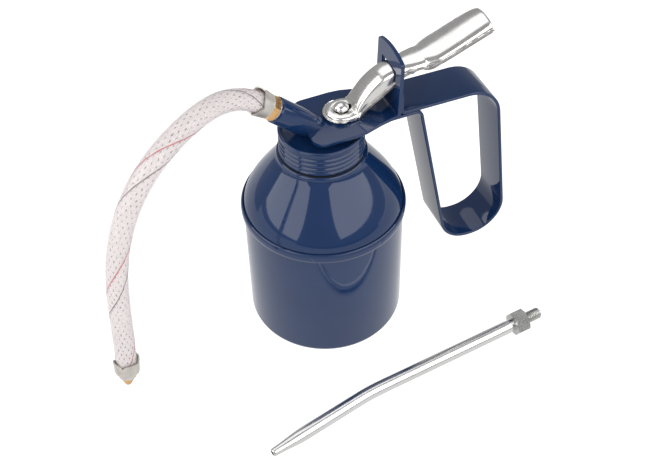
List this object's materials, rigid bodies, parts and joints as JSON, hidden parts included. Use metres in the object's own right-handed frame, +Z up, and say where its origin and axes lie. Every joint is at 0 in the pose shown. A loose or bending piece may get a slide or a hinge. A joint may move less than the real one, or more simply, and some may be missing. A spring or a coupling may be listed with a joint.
{
  "type": "pump oil can",
  "caption": "Round sheet-metal oil can with a domed shoulder, screw-on pump head, strip handle, rocking thumb lever, clear braided hose spout and a loose bent rigid spout beside it.",
  "frame": {"origin": "centre of the can's flat base, on the surface it stands on", "axes": "+Z up along the can's axis, +X towards the handle, -X towards the hose spout"},
  "size_m": [0.2161, 0.1247, 0.1606],
  "materials": {
    "blue_paint": "gloss",
    "zinc_steel": "zinc plated",
    "plain_steel": "satin",
    "bright_plate": "bright plated",
    "dull_ferrule": "dull, slightly worn",
    "brass": "machined",
    "black_rubber": "matt",
    "clear_hose": "clear tube over a white braid"
  },
  "bodies": {
    "can": {"reservoir_cup": "blue_paint", "reservoir_dome": "blue_paint"},
    "gasket": {"cap_gasket": "black_rubber"},
    "head": {"screw_cap": "blue_paint", "pump_bracket": "blue_paint", "handle_strap": "blue_paint", "spout_boss": "blue_paint", "pump_barrel": "zinc_steel", "gland_nut": "zinc_steel", "gland_packing": "black_rubber", "foot_valve_body": "brass", "suction_tube": "zinc_steel", "strainer": "brass", "return_spring": "plain_steel"},
    "lever": {"thumb_lever": "bright_plate"},
    "plunger": {"plunger_rod": "plain_steel", "rod_head": "bright_plate", "piston": "brass", "piston_seal": "black_rubber", "piston_nut": "plain_steel"},
    "foot_ball": {"foot_valve_ball": "plain_steel"},
    "delivery_ball": {"piston_ball": "plain_steel"},
    "spout_washer": {"hose_washer": "plain_steel"},
    "spout": {"hose_nut": "brass", "root_ferrule": "dull_ferrule", "hose": "clear_hose", "tip_ferrule": "dull_ferrule", "tip_nozzle": "brass"},
    "spare_spout": {"spare_spout_tube": "bright_plate", "spare_spout_nut": "plain_steel", "spare_spout_stub": "plain_steel"}
  },
  "joints": [
    {"name": "cap_rise", "type": "slide", "parent": "can", "child": "gasket", "axis": [0, 0, 1], "range_m": [0, 0.0063]},
    {"name": "head_unscrew", "type": "hinge", "parent": "gasket", "child": "head", "pos_m": [0, 0, 0.11], "axis": [0, 0, 1], "range_deg": [0, 1080]},
    {"name": "lever_press", "type": "hinge", "parent": "head", "child": "lever", "pos_m": [0.034, 0, 0.1341], "axis": [0, 1, 0], "range_deg": [0, 22]},
    {"name": "plunger_lift", "type": "slide", "parent": "head", "child": "plunger", "axis": [0, 0, 1], "range_m": [0, 0.01038], "stiffness_N_per_m": 800, "springref_m": -0.015, "deforming": ["return_spring"]},
    {"name": "foot_valve_lift", "type": "slide", "parent": "head", "child": "foot_ball", "axis": [0, 0, 1], "range_m": [0, 0.001]},
    {"name": "delivery_valve_lift", "type": "slide", "parent": "plunger", "child": "delivery_ball", "axis": [0, 0, 1], "range_m": [0, 0.0008]},
    {"name": "spout_rise", "type": "slide", "parent": "head", "child": "spout_washer", "axis": [-0.7314, 0, 0.682], "range_m": [0, 0.004]},
    {"name": "spout_unscrew", "type": "hinge", "parent": "spout_washer", "child": "spout", "pos_m": [-0.02227, 0, 0.13555], "axis": [-0.7314, 0, 0.682], "range_deg": [0, 1440]},
    {"name": "spare_spout_lift", "type": "slide", "parent": "can", "child": "spare_spout", "axis": [0, 0, 1], "range_m": [0, 0.06]}
  ],
  "couplings": [
    {"joint": "head_unscrew", "follows": "cap_rise", "rad_per_m": 2992},
    {"joint": "lever_press", "follows": "plunger_lift", "rad_per_m": 36.97},
    {"joint": "spout_unscrew", "follows": "spout_rise", "rad_per_m": 6283.2}
  ]
}
